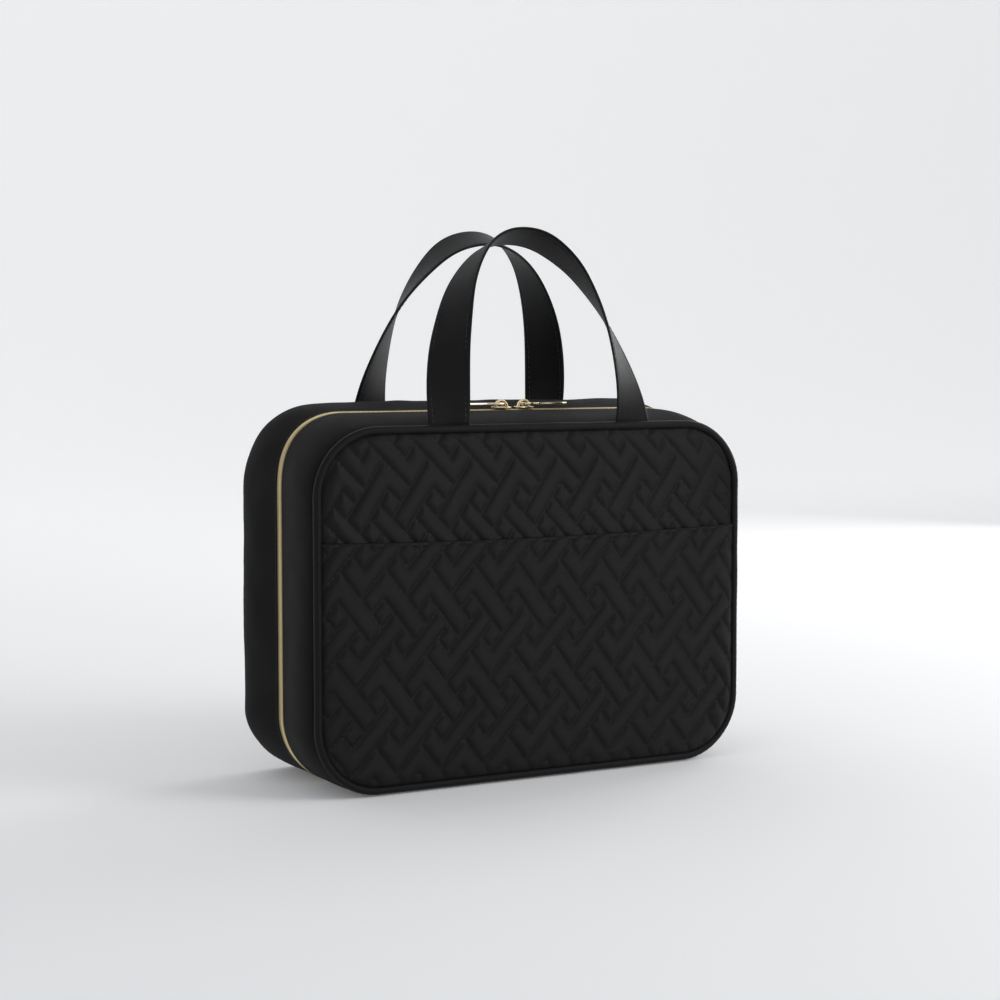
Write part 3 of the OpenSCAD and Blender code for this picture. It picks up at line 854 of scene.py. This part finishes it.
def handle_frames(side):
    """Centres, directions along and across, and outer normals of a handle's strap, from left to right."""
    rows, near = [], 0.002
    for t in 0.5 - 0.5 * np.cos(math.pi * np.linspace(0, 1, 150)):
        s = max(math.sin(math.pi * t), 0)
        centre = handle_point(t, LEAN[side])
        along = handle_point(min(1, t + near), LEAN[side]) - handle_point(max(0, t - near), LEAN[side])
        if t < near or t > 1 - near:
            along = UP if t < 0.5 else -UP
        along = along / np.linalg.norm(along)
        turned = END_TURN + (90 - END_TURN) * s ** TURN_POWER
        f = math.radians(turned if t < 0.5 else 180 - turned)
        tilt = math.radians(TOP_TILT * s)
        wide = np.array((math.cos(f), math.sin(f) * math.cos(tilt), -math.sin(f) * math.sin(tilt)))
        wide -= (wide @ along) * along
        wide /= np.linalg.norm(wide)
        rows.append((centre, along, wide, np.cross(wide, along)))
    rows = [(rows[0][0] - UP * d * MM, *rows[0][1:]) for d in (6.0, 4.5, 3.0, 1.5)] + rows
    rows += [(rows[-1][0] - UP * d * MM, *rows[-1][1:]) for d in (1.5, 3.0, 4.5, 6.0)]
    frames = [np.array(column) for column in zip(*rows)]
    if side < 0:
        for column in frames:
            column[:, 1] *= -1
        frames[0][:, 0] += FRONT_HANDLE_X
    return frames


def strap_section():
    """Half-width places and half-thickness of the strap: rounded edges, and grooves at the stitch rows."""
    place = np.sin(np.linspace(-math.pi / 2, math.pi / 2, 26)) * STRAP_W / 2
    edge = STRAP_W / 2 - np.abs(place)
    thick = 0.85 * MM * np.clip(edge / (1.2 * MM), 0, 1) ** 0.5
    thick -= 0.22 * MM * np.exp(-((edge - STITCH_EDGE) / (0.5 * MM)) ** 2)
    return place, thick


def make_handle(side):
    name = f"{HALF[side]}_handle"
    centre, _, wide, normal = handle_frames(side)
    length = lengths(centre)
    place, thick = strap_section()
    around = np.concatenate([place, place[::-1][1:-1]])
    lift = np.concatenate([thick, -thick[::-1][1:-1]])
    cup = STRAP_CUP * (1 - (2 * around / STRAP_W) ** 2)
    wave = 0.25 * MM * ripple(centre[:, None, :] + 0 * around[None, :, None], 40 * MM, 51 + side)
    points = (centre[:, None, :] + around[None, :, None] * wide[:, None, :]
              + (lift + cup)[None, :, None] * normal[:, None, :] + wave[..., None] * normal[:, None, :])
    across = np.append(np.concatenate([[0], np.cumsum(np.abs(np.diff(around)))]), 2 * STRAP_W)
    strap = sheet_piece(f"{name}_strap", points, length, across, "strap_cloth", None, round_across=True,
                        flip=side > 0, replaces=[name])
    rows = [strap]
    for k, edge in enumerate((-1, 1)):
        shift = edge * (STRAP_W / 2 - STITCH_EDGE)
        for face in (-1, 1):
            out = face * 0.66 * MM + STRAP_CUP * (1 - (2 * shift / STRAP_W) ** 2)
            line = centre + wide * shift + normal * out
            places, directions, share = spaced(line, 3.1 * MM)
            steps = lengths(line)
            lifts = np.stack([np.interp(share * steps[-1], steps, normal[:, c] * face) for c in range(3)], 1)
            label = "outer" if face > 0 else "inner"
            stitches = threads(f"{name}_{label}_stitches_{k + 1}", places, directions, lifts, None,
                               length=2.2 * MM, radius=0.21 * MM, slot="strap_cloth")
            rows.append(stitches)
    for row in rows:
        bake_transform(row)


# ---------------------------------------------------------------- sliders and pulls

def prism(name, outline, low, high, material, body, bevel, holes=()):
    """A flat shape in x and y from z low to high, with rounded edges."""
    built = bmesh.new()
    loops = [outline, *holes]
    edges = []
    for loop in loops:
        verts = [built.verts.new((x, y, low)) for x, y in loop]
        edges += [built.edges.new((verts[i], verts[(i + 1) % len(verts)])) for i in range(len(verts))]
    bmesh.ops.triangle_fill(built, use_beauty=True, use_dissolve=True, edges=edges)
    extruded = bmesh.ops.extrude_face_region(built, geom=built.faces[:])
    top = [v for v in extruded["geom"] if isinstance(v, bmesh.types.BMVert)]
    bmesh.ops.translate(built, vec=(0, 0, high - low), verts=top)
    bmesh.ops.recalc_face_normals(built, faces=built.faces[:])
    mesh = bpy.data.meshes.new(name)
    built.to_mesh(mesh)
    built.free()
    mesh.materials.append(MATERIALS[material])
    thing = bpy.data.objects.new(name, mesh)
    bpy.context.scene.collection.objects.link(thing)
    round_edges = thing.modifiers.new("edges", "BEVEL")
    round_edges.width = bevel
    round_edges.segments = 3
    round_edges.limit_method = "ANGLE"
    mesh.shade_smooth()
    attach(thing, body)
    return thing


def arc(x, y, radius, start, end, count):
    """Points of an arc from start to end, in degrees."""
    turns = [math.radians(start + (end - start) * i / count) for i in range(count + 1)]
    return [(x + radius * math.cos(turn), y + radius * math.sin(turn)) for turn in turns]


def rounded(x0, y0, x1, y1, radius):
    """The outline of a rectangle with rounded corners."""
    centres = ((x1 - radius, y1 - radius), (x0 + radius, y1 - radius), (x0 + radius, y0 + radius),
               (x1 - radius, y0 + radius))
    return [point for k, (x, y) in enumerate(centres) for point in arc(x, y, radius, 90 * k, 90 * (k + 1), 5)]


def tube(name, line, normals, width, height, material, body, replaces=()):
    """A bar with a rounded section swept along a line; width and height may change along it."""
    line, normals = np.asarray(line, float), np.asarray(normals, float)
    along = np.gradient(line, axis=0)
    along /= np.linalg.norm(along, axis=1, keepdims=True)
    across = np.cross(along, normals)
    across /= np.linalg.norm(across, axis=1, keepdims=True)
    lift = np.cross(across, along)
    sides = 16
    angle = 2 * math.pi * np.arange(sides) / sides
    a, b = (np.sign(v)[None, :, None] * np.abs(v)[None, :, None] ** 0.7
            * (np.asarray(size) / 2 * np.ones(len(line)))[:, None, None]
            for v, size in ((np.cos(angle), width), (np.sin(angle), height)))
    points = line[:, None, :] + a * across[:, None, :] + b * lift[:, None, :]
    faces, _, _ = grid_faces(len(line), sides, False, True, False)
    ends = [list(range(sides)), [(len(line) - 1) * sides + k for k in range(sides - 1, -1, -1)]]
    return piece(name, points, faces.tolist() + ends, material, body, replaces=replaces)


def make_slider(label, toward):
    """One slider. toward is -1 on the left slider and 1 on the right one: its pull lies that way."""
    body = f"{label}_slider"
    low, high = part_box(body)
    x, y = (low.x + high.x) / 2, (low.y + high.y) / 2
    nose = -toward
    half = (high.x - low.x) / 2
    wide, narrow = (high.y - low.y) / 2, 3.0 * MM
    plate = 1.2 * MM

    def outline(grow):
        shape = [(half - 1.6 * MM, -wide), (half - 0.5 * MM, -wide + 0.8 * MM), (half, -wide + 2.4 * MM),
                 (half, wide - 2.4 * MM), (half - 0.5 * MM, wide - 0.8 * MM), (half - 1.6 * MM, wide),
                 (0.6 * MM, wide), (-half + 0.8 * MM, narrow), (-half, narrow - 0.8 * MM),
                 (-half, -narrow + 0.8 * MM), (-half + 0.8 * MM, -narrow), (0.6 * MM, -wide)]
        return [(x + nose * px * grow, y + py * grow) for px, py in shape]

    prism(f"{label}_slider_top", outline(1.0), high.z - plate, high.z, "zip_metal", body, bevel=0.35 * MM)
    prism(f"{label}_slider_base", outline(1.0), low.z, low.z + plate, "zip_metal", body, bevel=0.3 * MM)
    post_x = x + nose * (half - 2.0 * MM)
    section = rounded(post_x - 1.4 * MM, y - 0.5 * MM, post_x + 1.4 * MM, y + 0.5 * MM, 0.4 * MM)
    post = prism(f"{label}_slider_post", section, low.z + plate / 2, high.z - plate / 2, "zip_metal", body,
                 bevel=0.1 * MM)
    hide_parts(body)
    angle = np.linspace(0, math.pi, 21)
    radius = 3.6 * MM
    line = np.stack([x + nose * radius * np.cos(angle), y + 0 * angle,
                     high.z - 0.3 * MM + 1.08 * radius * np.sin(angle)], 1)
    normals = np.stack([nose * np.cos(angle), 0 * angle, np.sin(angle)], 1)
    flare = 2.2 * MM + 0.9 * MM * np.abs(np.cos(angle)) ** 3
    tube(f"{label}_slider_crown", line, normals, flare, 1.15 * MM, "zip_metal", body,
         replaces=[f"{label}_crown"])
    make_pull(label, toward)


def make_pull(label, toward):
    """The pull: a pin through the crown between two arms, a narrow waist and a long rounded tab."""
    body = f"{label}_pull"
    joint = JOINTS[f"{label}_pull_swing"]["pos_m"]
    low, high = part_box(body)
    reach = high.x - low.x
    x, y, z = joint
    thick = 0.65 * MM

    def place(points):
        return [(x + toward * px * MM, y + py * MM) for px, py in points]

    tip = (reach - 0.0008) / MM
    outer = [(-0.6, 3.0), (3.5, 3.0), (6.4, 2.7), (8.4, 1.75), (10.5, 1.6), (15.0, 2.2), (21.0, 2.9)]
    outer += [(tip - 3.1 + 3.1 * math.cos(a), 3.1 * math.sin(a)) for a in np.linspace(1.45, 0.0, 8)]
    mirrored = [(px, -py) for px, py in outer[::-1][1:]]
    inner = [(0.9, 1.75), (4.4, 1.75), (5.2, 1.2), (5.4, 0.0), (5.2, -1.2), (4.4, -1.75), (0.9, -1.75)]
    prism(f"{label}_pull_tab", place(outer + mirrored), z - thick, z + thick, "pull_metal", body,
          holes=[place(inner)], bevel=0.3 * MM)
    pin = np.array([(x, y + d * MM, z) for d in (-2.2, -1.0, 0.0, 1.0, 2.2)])
    upward = np.repeat([UP], len(pin), 0)
    bar = tube(f"{label}_pull_pin", pin, upward, 1.5 * MM, 1.5 * MM, "pull_metal", body)
    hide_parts(body)


# ---------------------------------------------------------------- inside

def make_lining(side):
    """The thin lining of the wall and of the back of one half."""
    stations, length = closed_outline(3.5 * MM)
    low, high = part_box(f"{HALF[side]}_lining_side")
    near, far = (low.y, high.y) if side > 0 else (high.y, low.y)
    depth = np.linspace(near, far, 20)
    points = skin(stations, -3.0 * MM, depth)
    share = np.linspace(0, 1, len(depth))[None, :]
    move = -np.abs(0.9 * MM * np.sin(math.pi * share) * ripple(points, 28 * MM, 61 + side))
    push(points, stations, move)
    around = np.append(stations[:, 4], length)
    wall = sheet_piece(f"{HALF[side]}_side_lining", points, around, np.abs(depth - near), "lining_cloth",
                       BODY[side], closed=True, flip=side < 0, replaces=[f"{HALF[side]}_lining_side"])
    thicken(wall, LINING_T)
    back_low, back_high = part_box(f"{HALF[side]}_lining_back")
    inset = 4.9 * MM
    rings = np.linspace(0, 1, 34)[1:]
    edge = stations[:, 0:2] - inset * stations[:, 2:4] - (0, MIDDLE_Z)
    x = edge[None, :, 0] * rings[:, None]
    z = MIDDLE_Z + edge[None, :, 1] * rings[:, None]
    flat = np.stack([x, 0 * x, z], -1)
    inner = back_low.y if side > 0 else back_high.y
    y = inner - side * 0.35 * MM * np.abs(ripple(flat, 35 * MM, 71 + side)) * (1 - rings[:, None] ** 6)
    points = np.stack([x, y, z], -1)
    centre = np.array([[0, inner, MIDDLE_Z]])
    faces = grid_faces(len(rings), len(edge), False, True, side > 0)[0] + 1
    hub = [[0, 1 + (k + 1) % len(edge), 1 + k] for k in range(len(edge))]
    if side > 0:
        hub = [f[::-1] for f in hub]
    verts = np.concatenate([centre, points.reshape(-1, 3)])
    all_faces = faces.tolist() + hub
    uv = np.concatenate([[(verts[v][0], verts[v][2]) for v in face] for face in all_faces])
    back = piece(f"{HALF[side]}_back_lining", verts, all_faces, "lining_cloth", BODY[side], uv=uv,
                 replaces=[f"{HALF[side]}_lining_back"])
    thicken(back, LINING_T, 1.0)
    make_binding(side)


def make_binding(side):
    """Bias tape round the inside seam."""
    stations, length = closed_outline(3.0 * MM)
    low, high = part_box(f"{HALF[side]}_binding")
    ys = np.linspace(low.y, high.y, 9)
    bow = 0.55 * MM * np.sqrt(np.clip(1 - np.linspace(-1, 1, 9) ** 2, 0, 1))
    points = skin(stations, -4.0 * MM - bow[None, :], ys)
    around = np.append(stations[:, 4], length)
    tape = sheet_piece(f"{HALF[side]}_seam_binding", points, around, ys - ys[0], "piping_cloth", BODY[side],
                       closed=True, flip=False, replaces=[f"{HALF[side]}_binding"])
    return thicken(tape, LINING_T, 0.0)


def hung_sheet(name, side, half_x, z_low, z_high, y_at, material, body, replaces,
               step=2.0 * MM, thickness=LINING_T):
    """A cloth inside a half, whose distance from the back is y_at(x, z)."""
    x = np.linspace(-half_x, half_x, round(2 * half_x / step))
    z = np.linspace(z_low, z_high, max(4, round((z_high - z_low) / step)))
    gx, gz = np.meshgrid(x, z, indexing="ij")
    points = np.stack([gx, y_at(gx, gz), gz], -1)
    cloth_piece = sheet_piece(name, points, x, z, material, body, flip=side > 0, replaces=replaces)
    thicken(cloth_piece, thickness, 0.0)
    return cloth_piece


INSIDE_HALF = 117 * MM
GATHER_PITCH = 7 * MM


def make_insides():
    low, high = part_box("rear_mesh_pocket")
    rim_low, rim_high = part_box("rear_mesh_elastic")
    front_of_rear = low.y

    def bulge(x, z):
        share = np.clip((z - low.z) / (high.z - low.z), 0, 1)
        bow = np.sin(math.pi * np.clip((x / INSIDE_HALF + 1) / 2 * 2 % 1, 0, 1))
        bow = bow * np.sin(math.pi * share) ** 0.7
        gather = 0.5 * MM * np.sin(x * 2 * math.pi / GATHER_PITCH) * share ** 3
        return front_of_rear - 3.0 * MM * bow - gather

    def gathered(x, z):
        return rim_low.y + 0.4 * MM - 0.5 * MM * np.sin(x * 2 * math.pi / GATHER_PITCH)

    net = hung_sheet("rear_net_pocket", REAR, INSIDE_HALF, low.z + 4 * MM, high.z, bulge, "mesh_cloth",
                     "root", ["rear_mesh_pocket"], thickness=0.25 * MM)
    elastic = hung_sheet("rear_net_elastic", REAR, INSIDE_HALF, rim_low.z, rim_high.z, gathered,
                         "elastic_webbing", "root", ["rear_mesh_elastic"], step=1.4 * MM, thickness=0.9 * MM)
    centre = [(0.0, front_of_rear - 0.2 * MM, z) for z in np.linspace(low.z + 6 * MM, high.z, 30)]
    places, directions, _ = spaced(centre, 3 * MM)
    forward = np.repeat([(0, -1.0, 0)], len(places), 0)
    threads("rear_net_divider_stitches", places, directions, forward, "root", slot="mesh_cloth")
    low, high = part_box("front_inner_pocket")
    face = high.y

    def pocket(x, z):
        share = np.clip((z - low.z) / (high.z - low.z), 0, 1)
        bow = np.cos(math.pi * x / INSIDE_HALF / 2) * np.sin(math.pi * share * 0.8) ** 0.8
        flat = np.stack([x, 0 * x, z], -1)
        return face + 2.4 * MM * bow + 0.3 * MM * ripple(flat, 30 * MM, 81) * share

    slip = hung_sheet("front_slip_pocket", FRONT, INSIDE_HALF, low.z + 4 * MM, high.z, pocket, "lining_cloth",
                      "front_half", ["front_inner_pocket"], thickness=0.5 * MM)
    low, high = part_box("front_elastic_band")
    loops = 8

    def loop(x, z):
        wave = np.abs(np.sin((x + INSIDE_HALF) / (2 * INSIDE_HALF) * loops * math.pi)) ** 0.8
        return low.y + 0.5 * MM + 4.5 * MM * wave

    band = hung_sheet("front_brush_band", FRONT, INSIDE_HALF, low.z, high.z, loop, "elastic_webbing",
                      "front_half", ["front_elastic_band"], step=1.2 * MM, thickness=0.9 * MM)
    places = [(-INSIDE_HALF + 2 * INSIDE_HALF * k / loops, low.y + 1.1 * MM, z)
              for k in range(1, loops) for z in np.arange(low.z + 1.5 * MM, high.z, 2.6 * MM)]
    threads("front_brush_band_stitches", places, np.repeat([(0, 0, 1.0)], len(places), 0),
            np.repeat([(0, 1.0, 0)], len(places), 0), "front_half", slot="elastic_webbing")


# ---------------------------------------------------------------- bottom

def make_hinge_cloth():
    """The strip of cloth under the bag that bends between the two halves."""
    low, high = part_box("rear_hinge_tape")
    reach = high.y - ZIP_Y
    x = np.linspace(low.x, high.x, 60)
    y = ZIP_Y + np.concatenate([np.linspace(-reach, -3.0 * MM, 6), np.linspace(-2.6 * MM, 2.6 * MM, 15),
                                np.linspace(3.0 * MM, reach, 6)])
    away = np.abs(y - ZIP_Y)
    z = 0.82 * MM + 0.9 * MM * np.clip((away - 2.5 * MM) / (0.5 * MM), 0, 1)
    gx, gy = np.meshgrid(x, y, indexing="ij")
    points = np.stack([gx, gy, np.repeat(z[None, :], len(x), 0)], -1)
    strip = sheet_piece("hinge_cloth", points, x, y, "gusset_cloth", None, flip=True,
                        replaces=["front_hinge_tape", "rear_hinge_tape"])
    thicken(strip, 0.8 * MM, -1.0)
    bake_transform(strip)


def make_zip_ends():
    """A folded tab over each end of the zip."""
    low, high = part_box("zip_end_tabs")
    for label, x0, x1 in (("left", low.x, low.x + 5 * MM), ("right", high.x - 5 * MM, high.x)):
        count = 9
        ys = np.linspace(low.y, high.y, count)
        bow = low.z + 0.7 * MM - 0.25 * MM * np.cos((ys - ZIP_Y) / (high.y - low.y) * math.pi)
        points = [[(x, y, z) for y, z in zip(ys, bow)] for x in np.linspace(x0, x1, count)]
        tab = sheet_piece(f"zip_end_tab_{label}", np.array(points), np.linspace(0, x1 - x0, count),
                          np.linspace(0, high.y - low.y, count), "gusset_cloth", "root", flip=True,
                          replaces=["zip_end_tabs"])
        thicken(tab, TAPE_T)


# ---------------------------------------------------------------- everything

make_camera()
make_lights()
make_floor()
MATERIALS = make_materials()
for half in (FRONT, REAR):
    make_gusset(half)
    make_piping(half)
    make_zip_tape(half)
    make_coil(half)
    make_handle(half)
    make_lining(half)
make_panels()
make_pocket_hem()
make_slider("left", -1)
make_slider("right", 1)
make_insides()
make_hinge_cloth()
make_zip_ends()
for label in ("front_board", "rear_board"):
    frame["nodes"][label].data.materials.clear()
    frame["nodes"][label].data.materials.append(MATERIALS["foam_board"])
